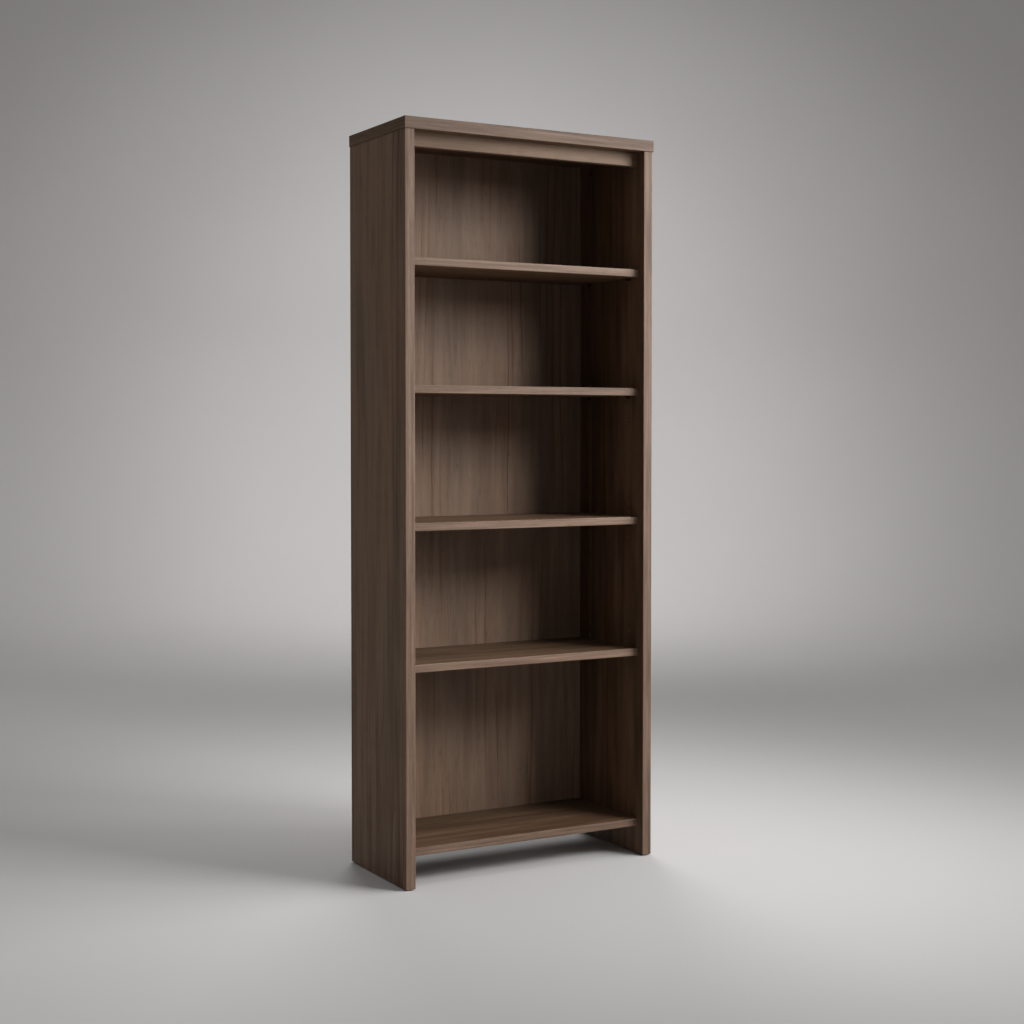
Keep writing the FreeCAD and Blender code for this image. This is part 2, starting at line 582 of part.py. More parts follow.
def make_cam(label, board_thickness):
    """A cam lock. Its own Z points out of the board, its own Y along the bolt towards the joint."""
    body = new_body(label)
    height = cam_height(board_thickness)
    sketch = new_sketch(body, "XY_Plane", f"-{height}")
    draw_circles(sketch, [("0", "0")], "(Sizes.cam_diameter - 2 * Sizes.cam_wall_gap)")
    pad(body, sketch, height)

    def cut_slot(bolt_diameter, far_end, near_end):
        """Cuts the room for one stretch of the bolt, given as distances towards the joint."""
        half = f"({bolt_diameter} / 2 + Sizes.cam_slot_gap)"
        slot = new_sketch(body, "YZ_Plane", f"-{half}")
        low = f"-({board_thickness} / 2 + {half})"
        draw_rectangle(slot, far_end, low, f"({near_end} - {far_end})", f"(2 * {half})")
        pocket(body, slot, f"(2 * {half})", along_normal=True)

    head_end = "-(Sizes.bolt_head_overrun + Sizes.cam_slot_gap)"
    neck_start = "(Sizes.bolt_head_length - Sizes.bolt_head_overrun + Sizes.cam_slot_gap)"
    cut_slot("Sizes.bolt_head_diameter", head_end, neck_start)
    cut_slot("Sizes.bolt_neck_diameter", neck_start, "(Sizes.cam_diameter / 2)")
    for size_x, size_y in (("length", "width"), ("width", "length")):
        across, along = f"Sizes.cam_cross_{size_x}", f"Sizes.cam_cross_{size_y}"
        recess = new_sketch(body, "XY_Plane")
        draw_rectangle(recess, f"-{across} / 2", f"-{along} / 2", across, along)
        pocket(body, recess, "Sizes.cam_cross_depth")
    return body


def make_cam_bolt(label):
    """A cam bolt. Its own Z runs from the thread's tip to the head."""
    body = new_body(label)
    joint = "Sizes.bolt_thread_length"
    thread = "(Sizes.bolt_pilot_diameter / 2 - Sizes.bolt_pilot_gap)"
    shank, neck, head = (f"(Sizes.bolt_{part}_diameter / 2)" for part in ("shank", "neck", "head"))
    shank_end = f"({joint} + Sizes.cam_setback - Sizes.cam_diameter / 2 - Sizes.cam_slot_gap)"
    tip = f"({joint} + Sizes.cam_setback + Sizes.bolt_head_overrun)"
    head_start = f"({tip} - Sizes.bolt_head_length)"
    profile = [("0", "0"), (f"({thread} / 2)", "0"), (thread, f"({thread} / 2)"), (thread, joint)]
    profile += [(shank, joint), (shank, shank_end), (neck, shank_end), (neck, head_start)]
    profile += [(head, head_start), (head, tip), ("0", tip)]
    sketch = new_sketch(body, "XZ_Plane")
    draw_outline(sketch, profile)
    turn(body, sketch, "V_Axis")
    return body


def make_dowel(label):
    """A wooden dowel, its own Z from the end in a board's face to the end in the other board's edge."""
    body = new_body(label)
    radius = "(Sizes.dowel_diameter / 2 - Sizes.dowel_wall_gap)"
    inner = f"({radius} - Sizes.dowel_chamfer)"
    shoulder = "(Sizes.dowel_length - Sizes.dowel_chamfer)"
    profile = [("0", "0"), (inner, "0"), (radius, "Sizes.dowel_chamfer"), (radius, shoulder)]
    profile += [(inner, "Sizes.dowel_length"), ("0", "Sizes.dowel_length")]
    sketch = new_sketch(body, "XZ_Plane")
    draw_outline(sketch, profile)
    turn(body, sketch, "V_Axis")
    return body


def across(column):
    """Formula: where a distance behind the sides' front edges lies in Y."""
    return f"({CASE_FRONT} + {column})"


def make_cam_joints():
    """The cams and bolts that hold the top panel, the bottom shelf and the front rail to the sides."""
    top_cams, top_bolts, bottom_cams, bottom_bolts, rail_cams, rail_bolts = ([] for _ in range(6))
    bolt_from_top = f"({TOP_UNDERSIDE} + Sizes.bolt_thread_length)"
    for side, outward in SIDES.items():
        sign = "" if side == "right" else "-"
        inner_face, inward = f"{sign}{INNER_HALF}", -outward
        panel_middle = f"{sign}({INNER_HALF} + Sizes.side_thickness / 2)"
        thread_tip = f"{sign}({INNER_HALF} + Sizes.bolt_thread_length)"
        cam_x = f"{sign}({INNER_HALF} - Sizes.cam_setback)"
        for column, y in CAM_COLUMNS.items():
            cam = make_cam(f"top_cam_{column}_{side}", "Sizes.side_thickness")
            top_cam_z = f"({TOP_UNDERSIDE} - Sizes.cam_setback)"
            top_cams.append(place(cam, inner_face, across(y), top_cam_z, facing(inward, UP)))
            bolt = make_cam_bolt(f"top_bolt_{column}_{side}")
            top_bolts.append(place(bolt, panel_middle, across(y), bolt_from_top, facing(DOWN, BACK)))
            cam = make_cam(f"bottom_cam_{column}_{side}", "Sizes.shelf_thickness")
            turned = facing(DOWN, outward)
            bottom_cams.append(place(cam, cam_x, across(y), "Sizes.bottom_shelf_height", turned))
            bolt = make_cam_bolt(f"bottom_bolt_{column}_{side}")
            bottom_bolts.append(place(bolt, thread_tip, across(y), BOTTOM_MIDDLE, facing(inward, UP)))
        cam = make_cam(f"rail_cam_{side}", "Sizes.rail_thickness")
        rail_rear = across("(Sizes.rail_setback + Sizes.rail_thickness)")
        rail_cams.append(place(cam, cam_x, rail_rear, RAIL_MIDDLE, facing(BACK, outward)))
        bolt = make_cam_bolt(f"rail_bolt_{side}")
        rail_bolts.append(place(bolt, thread_tip, across(RAIL_CENTRE), RAIL_MIDDLE, facing(inward, UP)))
    return [
        gather("top_cam_locks", top_cams),
        gather("top_cam_bolts", top_bolts),
        gather("bottom_cam_locks", bottom_cams),
        gather("bottom_cam_bolts", bottom_bolts),
        gather("rail_cam_locks", rail_cams),
        gather("rail_cam_bolts", rail_bolts),
    ]


def make_dowels():
    """The dowels beside the cams, and those between the front rail and the top panel."""
    top, bottom, rail = [], [], []
    seat_above = f"({TOP_UNDERSIDE} + Sizes.dowel_seat)"
    for side, outward in SIDES.items():
        sign = "" if side == "right" else "-"
        middle = f"{sign}({INNER_HALF} + Sizes.side_thickness / 2)"
        dowel = make_dowel(f"top_dowel_{side}")
        top.append(place(dowel, middle, across(DOWEL_COLUMN), seat_above, facing(DOWN, BACK)))
        dowel = make_dowel(f"bottom_dowel_{side}")
        seat = f"{sign}({INNER_HALF} + Sizes.dowel_seat)"
        bottom.append(place(dowel, seat, across(DOWEL_COLUMN), BOTTOM_MIDDLE, facing(-outward, UP)))
    for number, x in enumerate(rail_dowel_places(), 1):
        dowel = make_dowel(f"rail_dowel_{number}")
        rail.append(place(dowel, x, across(RAIL_CENTRE), seat_above, facing(DOWN, BACK)))
    return [gather("top_dowels", top), gather("bottom_dowels", bottom), gather("rail_dowels", rail)]


def make_back_panel_nails():
    """The nails through the back panel into the bottom shelf, their heads on the panel's rear face."""
    nails = []
    count = int(evaluate("Sizes.nail_count"))
    shank, head = "(Sizes.nail_diameter / 2)", "(Sizes.nail_head_diameter / 2)"
    shoulder = "(Sizes.nail_length - Sizes.nail_point)"
    head_top = "(Sizes.nail_length + Sizes.nail_head_thickness)"
    point_start, head_base = "Sizes.nail_point", "Sizes.nail_length"
    for number in range(count):
        body = new_body(f"back_nail_{number + 1}")
        sketch = new_sketch(body, "XZ_Plane")
        profile = [("0", "0"), (shank, point_start), (shank, head_base), (head, head_base)]
        profile += [(head, head_top), ("0", head_top)]
        draw_outline(sketch, profile)
        turn(body, sketch, "V_Axis")
        x = f"({NAIL_SPAN} * ({number} / (Sizes.nail_count - 1) - 0.5))"
        tip = across(f"({BACK_FACE} + Sizes.back_thickness - Sizes.nail_length)")
        nails.append(place(body, x, tip, BOTTOM_MIDDLE, facing(BACK, UP)))
    return gather("back_panel_nails", nails)


def make_glide(side, column, y):
    """A plastic glide with its nail, under one end of a side panel."""
    body = new_body(f"glide_{column}_{side}")
    radius, nail = "(Sizes.glide_diameter / 2)", "(Sizes.glide_nail_diameter / 2)"
    nail_end = "(Sizes.glide_height + Sizes.glide_nail_length)"
    foot = f"({radius} - Sizes.glide_rim)"
    profile = [("0", "0"), (foot, "0"), (radius, "Sizes.glide_rim"), (radius, "Sizes.glide_height")]
    profile += [(nail, "Sizes.glide_height"), (nail, f"({nail_end} - 2 * {nail})"), ("0", nail_end)]
    sketch = new_sketch(body, "XZ_Plane")
    draw_outline(sketch, profile)
    turn(body, sketch, "V_Axis")
    sign = "" if side == "right" else "-"
    return place(body, f"{sign}({INNER_HALF} + Sizes.side_thickness / 2)", across(y), "0")


def make_shelf_pin(shelf, side, column, y):
    """A shelf pin: a round shank in the side panel and a head with a flat seat under the shelf."""
    body = new_body(f"shelf_{shelf}_pin_{column}_{side}")
    shank = "(Sizes.pin_hole_diameter / 2 - Sizes.pin_fit_gap)"
    tip = "(Sizes.pin_tip_chamfer - Sizes.pin_shank_length)"
    start = "-Sizes.pin_shank_length"
    profile = [(start, "0"), (start, f"({shank} - Sizes.pin_tip_chamfer)"), (tip, shank)]
    profile += [("0", shank), ("0", "0")]
    turned = new_sketch(body, "XZ_Plane")
    draw_outline(turned, profile)
    turn(body, turned, "H_Axis")

    head = new_sketch(body, "YZ_Plane")
    radius, flat = evaluate("Sizes.pin_head_radius"), evaluate("Sizes.pin_head_flat")
    half_width = (radius**2 - flat**2) ** 0.5
    corners = [Vector(half_width, flat, 0), Vector(-half_width, flat, 0)]
    seat = head.addGeometry(Part.LineSegment(*corners), False)
    below = head.addGeometry(Part.Arc(corners[1], Vector(0, -radius, 0), corners[0]), False)
    head.addConstraint(Sketcher.Constraint("Coincident", seat, 2, below, 1))
    head.addConstraint(Sketcher.Constraint("Coincident", below, 2, seat, 1))
    head.addConstraint(Sketcher.Constraint("Horizontal", seat))
    head.addConstraint(Sketcher.Constraint("Coincident", below, 3, -1, 1))
    drive(head, "Radius", below, formula="Sizes.pin_head_radius")
    drive(head, "DistanceY", -1, 1, seat, 1, formula="Sizes.pin_head_flat")
    pad(body, head, "Sizes.pin_head_length")
    nose, near = evaluate("Sizes.pin_head_length"), 1e-6
    round_edges(
        body,
        lambda edge: all(abs(v.Point.x - nose) < near for v in edge.Vertexes),
        "Sizes.pin_nose_radius",
    )
    if side == "left":
        return place(body, f"-{INNER_HALF}", across(y), pin_axis(shelf))
    half_turn = FreeCAD.Rotation(UP, 180)
    return place(body, INNER_HALF, across(y), pin_axis(shelf), half_turn)


# The whole bookcase ---------------------------------------------------------------------------------------


def make_bookcase():
    """Every node of the bookcase, in the order that it is put together."""
    left_side = make_left_side_panel()
    nodes = [left_side, mirror_to_right(left_side, "right_side_panel")]
    nodes += [make_top_panel(), make_bottom_shelf(), make_front_rail(), make_back_panel()]
    nodes += [make_adjustable_shelf(number) for number in SHELVES]
    nodes += make_edge_bands()
    nodes += make_cam_joints()
    nodes += make_dowels()
    nodes.append(make_back_panel_nails())
    for side in SIDES:
        nodes += [make_glide(side, column, y) for column, y in GLIDE_COLUMNS.items()]
    for shelf in SHELVES:
        for side in SIDES:
            nodes += [make_shelf_pin(shelf, side, column, y) for column, y in PIN_COLUMNS.items()]
    doc.recompute()
    return nodes


def check(nodes):
    """Stops if any feature failed or any node's shape is missing, invalid or empty."""
    for piece in doc.Objects:
        if {"Invalid", "Error"} & set(piece.State):
            raise RuntimeError(f"{piece.Label} failed: {piece.State}")
    for node in nodes:
        if node.Shape.isNull() or not node.Shape.isValid() or node.Shape.Volume <= 0:
            raise RuntimeError(f"{node.Label} has no valid shape")


def export(nodes):
    """Writes each node's shape, in its place, to its own STEP file."""
    os.makedirs("parts", exist_ok=True)
    for node in nodes:
        node.Shape.exportStep(os.path.join("parts", f"{node.Label}.step"))


bookcase = make_bookcase()
check(bookcase)
export(bookcase)
for made in bookcase:
    box = made.Shape.BoundBox
    corner = (round(box.XMin, 2), round(box.YMin, 2), round(box.ZMin, 2))
    size = (round(box.XLength, 2), round(box.YLength, 2), round(box.ZLength, 2))
    print(f"{made.Label}: {len(made.Shape.Solids)} solid(s), from {corner}, size {size}")
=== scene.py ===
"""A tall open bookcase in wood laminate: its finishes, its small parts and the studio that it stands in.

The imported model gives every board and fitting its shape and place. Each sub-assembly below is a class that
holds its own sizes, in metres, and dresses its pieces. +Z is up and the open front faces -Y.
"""

import logging
import math
from dataclasses import dataclass, field
from enum import Enum
from typing import Any, Mapping, Optional, Sequence, Union

import bpy
import numpy as np
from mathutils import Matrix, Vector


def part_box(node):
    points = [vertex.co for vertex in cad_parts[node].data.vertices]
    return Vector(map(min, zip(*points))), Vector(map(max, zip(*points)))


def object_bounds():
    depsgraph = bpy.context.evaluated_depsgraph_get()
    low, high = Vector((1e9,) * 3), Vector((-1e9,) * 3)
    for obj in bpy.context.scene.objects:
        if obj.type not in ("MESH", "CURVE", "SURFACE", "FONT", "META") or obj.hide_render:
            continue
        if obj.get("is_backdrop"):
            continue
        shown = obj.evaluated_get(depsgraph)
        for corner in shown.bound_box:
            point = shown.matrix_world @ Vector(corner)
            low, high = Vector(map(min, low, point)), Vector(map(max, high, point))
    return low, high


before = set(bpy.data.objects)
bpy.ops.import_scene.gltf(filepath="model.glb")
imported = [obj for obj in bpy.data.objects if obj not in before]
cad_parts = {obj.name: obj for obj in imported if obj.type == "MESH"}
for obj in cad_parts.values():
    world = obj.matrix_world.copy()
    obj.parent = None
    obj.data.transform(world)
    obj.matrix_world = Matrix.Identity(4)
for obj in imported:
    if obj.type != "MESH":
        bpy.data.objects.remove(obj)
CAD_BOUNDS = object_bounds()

logging.basicConfig(level=logging.INFO, format="%(name)s: %(message)s")
LOG = logging.getLogger("bookcase")

Colour = tuple[float, float, float]
Point = tuple[float, float, float]
Waves = tuple[float, float]


class Axis(Enum):
    """A direction of the model's frame, by the name of its coordinate."""

    X = "X"
    Y = "Y"
    Z = "Z"

    @property
    def place(self) -> int:
        """Its place among a point's three numbers."""
        return "XYZ".index(self.value)


# Shader graphs --------------------------------------------------------------------------------------------


class Signal:
    """One output of a shader node. Arithmetic on it adds Math nodes to its graph."""

    def __init__(self, graph: "Graph", socket: bpy.types.NodeSocket) -> None:
        """Wraps a socket of a graph's node."""
        self.graph = graph
        self.socket = socket

    def math(self, operation: str, *values: "Value") -> "Signal":
        """Adds a Math node.

        Args:
            operation: The Math node's operation.
            values: Its inputs, in order.

        Returns:
            The node's result.
        """
        return self.graph.node("ShaderNodeMath", {"operation": operation}, dict(enumerate(values)))

    def __add__(self, other: "Value") -> "Signal":
        """self + other."""
        return self.math("ADD", self, other)

    __radd__ = __add__

    def __sub__(self, other: "Value") -> "Signal":
        """self - other."""
        return self.math("SUBTRACT", self, other)

    def __rsub__(self, other: "Value") -> "Signal":
        """other - self."""
        return self.math("SUBTRACT", other, self)

    def __mul__(self, other: "Value") -> "Signal":
        """self * other."""
        return self.math("MULTIPLY", self, other)

    __rmul__ = __mul__

    def __truediv__(self, other: "Value") -> "Signal":
        """self / other."""
        return self.math("DIVIDE", self, other)

    def __pow__(self, other: "Value") -> "Signal":
        """self to the power of other."""
        return self.math("POWER", self, other)

    def __abs__(self) -> "Signal":
        """The distance from 0."""
        return self.math("ABSOLUTE", self)

    def root(self) -> "Signal":
        """The square root."""
        return self.math("SQRT", self)

    def sine(self) -> "Signal":
        """The sine of an angle in radians."""
        return self.math("SINE", self)

    def fraction(self) -> "Signal":
        """What is left after the whole number below."""
        return self.math("FRACT", self)

    def least(self, other: "Value") -> "Signal":
        """The smaller of the two."""
        return self.math("MINIMUM", self, other)

    def most(self, other: "Value") -> "Signal":
        """The larger of the two."""
        return self.math("MAXIMUM", self, other)

    def close_to(self, value: "Value", within: float) -> "Signal":
        """1 where this lies within a distance of a value, and 0 elsewhere."""
        return self.math("COMPARE", self, value, within)

    def rise(self, start: float, end: float) -> "Signal":
        """A smooth step.

        Args:
            start: Where the step leaves 0.
            end: Where it reaches 1. It may lie below start, for a step down.

        Returns:
            0 before start, 1 after end, and the smooth cubic between.
        """
        (low, before), (high, after) = sorted([(start, 0.0), (end, 1.0)])
        step = {"From Min": low, "From Max": high, "To Min": before, "To Max": after}
        settings = {"interpolation_type": "SMOOTHSTEP"}
        return self.graph.node("ShaderNodeMapRange", settings, {"Value": self, **step})


Value = Union[float, Signal]


class Graph:
    """The node tree of one new material."""

    def __init__(self, name: str) -> None:
        """Makes a material of that name with an empty tree."""
        self.material = bpy.data.materials.new(name)
        self.material.use_nodes = True
        self.tree = self.material.node_tree
        self.tree.nodes.clear()
        self.here = self.place()

    def node(
        self,
        kind: str,
        settings: Optional[Mapping[str, Any]] = None,
        inputs: Optional[Mapping[Union[str, int], Any]] = None,
        output: Union[str, int] = 0,
    ) -> Signal:
        """Adds a node.

        Args:
            kind: The node's type.
            settings: Its properties, set first. "stops" holds a ramp's positions and colours.
            inputs: What goes into its sockets, as values or as signals to link.
            output: Which of its outputs to give back.

        Returns:
            The chosen output, or the first input of a node that has no output.
        """
        made = self.tree.nodes.new(kind)
        for name, setting in (settings or {}).items():
            if name == "stops":
                elements = made.color_ramp.elements
                while len(elements) < len(setting):
                    elements.new(1.0)
                for element, (position, colour) in zip(elements, setting):
                    element.position = position
                    element.color = (*colour, 1.0)
            else:
                setattr(made, name, setting)
        for name, value in (inputs or {}).items():
            if isinstance(value, Signal):
                self.tree.links.new(value.socket, made.inputs[name])
            else:
                made.inputs[name].default_value = value
        return Signal(self, made.outputs[output] if made.outputs else made.inputs[0])

    def place(self) -> dict[Axis, Signal]:
        """The three coordinates of the shaded point, in metres, in the model's frame."""
        point = {"Vector": self.node("ShaderNodeTexCoord", output="Object")}
        return {axis: self.node("ShaderNodeSeparateXYZ", {}, point, axis.value) for axis in Axis}

    def vector(self, x: Value, y: Value, z: Value) -> Signal:
        """A vector from its three parts."""
        return self.node("ShaderNodeCombineXYZ", {}, {"X": x, "Y": y, "Z": z})

    def noise(self, where: Signal, detail: float = 2.0, roughness: float = 0.5) -> Signal:
        """Smooth noise between 0 and 1, one wave to a unit of where."""
        inputs = {"Vector": where, "Scale": 1.0, "Detail": detail, "Roughness": roughness}
        return self.node("ShaderNodeTexNoise", {"noise_dimensions": "3D"}, inputs)

    def speckle(self, waves: Point, detail: float = 2.0, roughness: float = 0.5) -> Signal:
        """Smooth noise between 0 and 1, with so many waves per metre along X, Y and Z."""
        where = self.vector(*(self.here[axis] * count for axis, count in zip(Axis, waves)))
        return self.noise(where, detail, roughness)

    def blend(self, first: Any, second: Any, share: Value) -> Signal:
        """A colour between two colours, by the second one's share."""
        mixed = {"Factor": share, 6: self.colour(first), 7: self.colour(second)}
        return self.node("ShaderNodeMix", {"data_type": "RGBA"}, mixed, 2)

    def tint(self, colour: Any, by: Any, share: Value = 1.0) -> Signal:
        """A colour multiplied by another one, by that one's share."""
        mixed = {"Factor": share, 6: self.colour(colour), 7: self.colour(by)}
        return self.node("ShaderNodeMix", {"data_type": "RGBA", "blend_type": "MULTIPLY"}, mixed, 2)

    @staticmethod
    def colour(value: Any) -> Any:
        """A socket's value for a colour: a signal as it is, or three numbers with an alpha of 1."""
        return value if isinstance(value, Signal) else (*value, 1.0)


@dataclass
class Surface:
    """What a finish gives at each point: its colour, its roughness and its height in metres."""

    graph: Graph
    colour: Signal
    roughness: Signal
    height: Signal

    def over(self, other: "Surface", mask: Signal) -> "Surface":
        """This surface where the mask is 1, and the other one where it is 0."""
        return Surface(
            self.graph,
            self.graph.blend(other.colour, self.colour, mask),
            other.roughness + (self.roughness - other.roughness) * mask,
            other.height + (self.height - other.height) * mask,
        )

    def shade(self, metallic: float = 0.0, specular: float = 0.5) -> bpy.types.Material:
        """Ends the graph in a Principled shader.

        Args:
            metallic: 1 for bare metal.
            specular: The level of the mirror reflection.

        Returns:
            The finished material.
        """
        inputs = {"Height": self.height, "Strength": 1.0, "Distance": 1.0}
        normal = self.graph.node("ShaderNodeBump", {}, inputs)
        shader = self.graph.node(
            "ShaderNodeBsdfPrincipled",
            {},
            {
                "Base Color": self.colour,
                "Roughness": self.roughness,
                "Normal": normal,
                "Metallic": metallic,
                "Specular IOR Level": specular,
            },
        )
        self.graph.node("ShaderNodeOutputMaterial", {}, {"Surface": shader})
        return self.graph.material


# Finishes -------------------------------------------------------------------------------------------------

SEED_ALONG, SEED_ACROSS = 1.7, 0.31  # how far a seed of 1 moves a print along and across the grain


@dataclass(frozen=True)
class Grain:
    """How the printed wood lies on a board, and the log that it looks cut from.

    The growth rings are circles round the log's heart. A board's face cuts them at a slant, so that they
    show as straight lines far from the heart and as pointed arches near it. The tone makes a board a little
    lighter or darker than the others, and the core is how strong the thin line along the heart is.
    """

    along: Axis
    across: Axis
    seed: float
    heart: float = 0.35
    depth: float = 0.02
    slant: float = 0.03
    figure: float = 1.0
    tone: float = 0.0
    core: float = 0.0

    @property
    def through(self) -> Axis:
        """The axis through the board's thickness."""
        return next(axis for axis in Axis if axis not in (self.along, self.across))


@dataclass(frozen=True)
class WoodPrint:
    """The laminate's printed wood: its colours, and how strong each part of the pattern is.

    Waves are per metre, first along the grain and then across it.
    """

    dark: Colour = (0.070, 0.040, 0.022)
    middle: Colour = (0.130, 0.077, 0.045)
    light: Colour = (0.188, 0.117, 0.073)
    cool: Colour = (0.94, 1.01, 1.04)
    warm: Colour = (1.06, 0.99, 0.95)
    pore: Colour = (0.45, 0.38, 0.33)
    line: Colour = (0.46, 0.37, 0.31)
    wander_waves: Waves = (1.4, 5.0)
    wander: float = 0.045
    band_waves: Waves = (0.45, 8.0)
    banding: float = 1.15
    ring_spacing: float = 0.024
    ring_bend: float = 2.5
    ring_crest: float = 0.8
    ring_shade: float = 0.20
    ring_line: float = 0.55
    patch_waves: Waves = (1.5, 13.0)
    patch_hue: float = 1.3
    band_hue: float = 1.1
    streak_waves: Waves = (3.2, 40.0)
    streaking: float = 1.35
    fibre_waves: Waves = (9.0, 430.0)
    fibre_shade: float = 0.34
    pore_waves: Waves = (30.0, 1000.0)
    pore_share: float = 0.4
    core_width: float = 0.0022
    core_full: float = 0.0006
    roughness: float = 0.52
    emboss: float = 0.00004

    def lay(self, graph: Graph, grain: Grain) -> Surface:
        """Draws the print over a board.

        Each layer is noise stretched along the grain: broad bands, streaks, fibres and pores. Growth rings
        lie at equal steps of the distance from the log's heart. That distance is the root of the sum of the
        squares of the distance across and of the depth, and the depth grows along the board with the slant.
        Only some stretches of each ring are dark enough to see.

        Args:
            graph: The material's graph.
            grain: How the wood lies on this board.

        Returns:
            The printed surface.
        """
        here, figure = graph.here, grain.figure
        along = here[grain.along] + grain.seed * SEED_ALONG
        across = here[grain.across] + grain.seed * SEED_ACROSS
        through = here[grain.through]

        def stretched(waves: Waves, detail: float, roughness: float = 0.5) -> Signal:
            """Noise centred on 0, with its waves per metre along and across the grain."""
            where = graph.vector(along * waves[0], across * waves[1], through * waves[1])
            return graph.noise(where, detail, roughness) - 0.5

        wander = stretched(self.wander_waves, 3.0) * self.wander
        sideways = here[grain.across] - grain.heart + wander
        down = here[grain.along] * grain.slant + grain.depth + wander * 0.5
        distance = (sideways * sideways + down * down).root()
        bands = stretched(self.band_waves, 2.0)
        step = (distance / self.ring_spacing + bands * self.ring_bend).fraction()
        ring = (step / self.ring_crest).least((1.0 - step) / (1.0 - self.ring_crest))
        patches = stretched(self.patch_waves, 1.0)
        seen = patches.rise(-0.04, 0.16)

        streaks = stretched(self.streak_waves, 4.0, 0.60)
        fibres = stretched(self.fibre_waves, 2.0, 0.65)
        pores = stretched(self.pore_waves, 0.0).rise(0.12, 0.24)
        mean_ring = 0.33
        shade = (ring ** 2.0 - mean_ring) * (seen * (self.ring_shade * figure))
        tone = 0.5 + grain.tone + bands * (self.banding * figure) + streaks * self.streaking - shade
        tone = tone + fibres * self.fibre_shade
        stops = [(0.14, self.dark), (0.5, self.middle), (0.86, self.light)]
        colour = graph.node("ShaderNodeValToRGB", {"stops": stops}, {"Fac": tone})
        hue = 0.5 + (patches * self.patch_hue + bands * self.band_hue) * figure
        colour = graph.tint(colour, graph.blend(self.cool, self.warm, hue))
        lines = ring.rise(0.86, 1.0) * seen * (self.ring_line * figure)
        if grain.core:
            drawn = (patches + streaks * 0.4).rise(-0.10, 0.05)
            core = abs(sideways).rise(self.core_width, self.core_full)
            lines = lines.most(core * drawn * grain.core)
        colour = graph.tint(colour, self.line, lines)
        colour = graph.tint(colour, self.pore, pores * self.pore_share)

        roughness = self.roughness + fibres * 0.16 + pores * 0.12 + lines * 0.1
        height = (fibres * 0.5 - pores * 0.7 - lines * 0.6) * self.emboss
        return Surface(graph, colour, roughness, height)


@dataclass(frozen=True)
class Chipboard:
    """The bare core of the boards: pressed wood chips, seen on unbanded edges and in drilled holes."""

    pale: Colour = (0.34, 0.245, 0.150)
    brown: Colour = (0.175, 0.112, 0.062)
    gap: Colour = (0.45, 0.38, 0.32)
    gap_share: float = 0.7
    chip: float = 0.0022
    relief: float = 0.00018

    def lay(self, graph: Graph) -> Surface:
        """Covers the board with chips.

        Each cell of a Voronoi pattern is a chip with a shade of its own.

        Args:
            graph: The material's graph.

        Returns:
            The raw surface.
        """
        where = graph.vector(*(graph.here[axis] / self.chip for axis in Axis))
        cell = {"Vector": where, "Scale": 1.0, "Randomness": 1.0}
        shade = graph.node("ShaderNodeTexVoronoi", {}, cell, "Color")
        share = graph.node("ShaderNodeSeparateColor", {}, {"Color": shade}, "Red")
        fleck = graph.noise(where, 3.0, 0.7)
        colour = graph.blend(self.pale, self.brown, share * 0.55 + (fleck - 0.5) * 0.5)
        gaps = fleck.rise(0.42, 0.30)
        colour = graph.tint(colour, self.gap, gaps * self.gap_share)
        roughness = 0.86 + share * 0.08
        height = (share * 0.4 - gaps * 0.6 + fleck * 0.4) * self.relief
        return Surface(graph, colour, roughness, height)


@dataclass(frozen=True)
class Hardboard:
    """The bare rear of the back panel: brown pressed fibre with a faint screen pattern."""

    base: Colour = (0.235, 0.140, 0.078)
    fibre: Colour = (0.150, 0.086, 0.047)
    cloud_waves: float = 6.0
    fibre_waves: float = 420.0
    mesh_pitch: float = 0.0016
    relief: float = 0.00006

    def lay(self, graph: Graph) -> Surface:
        """Covers the panel with matted fibre over the screen's fine dimples.

        Args:
            graph: The material's graph.

        Returns:
            The raw surface.
        """
        clouds = graph.speckle((self.cloud_waves,) * 3, 4.0)
        matted = graph.speckle((self.fibre_waves,) * 3, 3.0, 0.7)
        turn = 2 * math.pi / self.mesh_pitch
        dimples = (graph.here[Axis.X] * turn).sine() * (graph.here[Axis.Z] * turn).sine()
        share = 0.5 + (matted - 0.5) * 1.5 + (clouds - 0.5) * 0.7 + dimples * 0.08
        colour = graph.blend(self.base, self.fibre, share)
        roughness = 0.78 + (matted - 0.5) * 0.2
        height = (dimples * 0.5 + matted) * self.relief
        return Surface(graph, colour, roughness, height)


@dataclass(frozen=True)
class Metal:
    """A small plated part: its colour, how dull it is and how strongly it is brushed."""

    colour: Colour
    roughness: float = 0.30
    brushing: float = 0.10
    dulled: Colour = (0.72, 0.70, 0.67)
    scratch_waves: Point = (600.0, 5000.0, 5000.0)
    patch_waves: Point = (260.0, 260.0, 260.0)
    scratch_depth: float = 0.000004

    def shade(self, name: str) -> bpy.types.Material:
        """Makes the metal, with fine scratches and a few dull patches.

        Args:
            name: The material's name.

        Returns:
            The material.
        """
        graph = Graph(name)
        scratch = graph.speckle(self.scratch_waves)
        patches = graph.speckle(self.patch_waves, 3.0)
        dull = graph.tint(self.colour, self.dulled, patches.rise(0.45, 0.70) * 0.6)
        roughness = self.roughness + (scratch - 0.5) * self.brushing + patches.rise(0.4, 0.75) * 0.18
        height = (scratch - 0.5) * self.scratch_depth
        return Surface(graph, dull, roughness, height).shade(metallic=1.0)


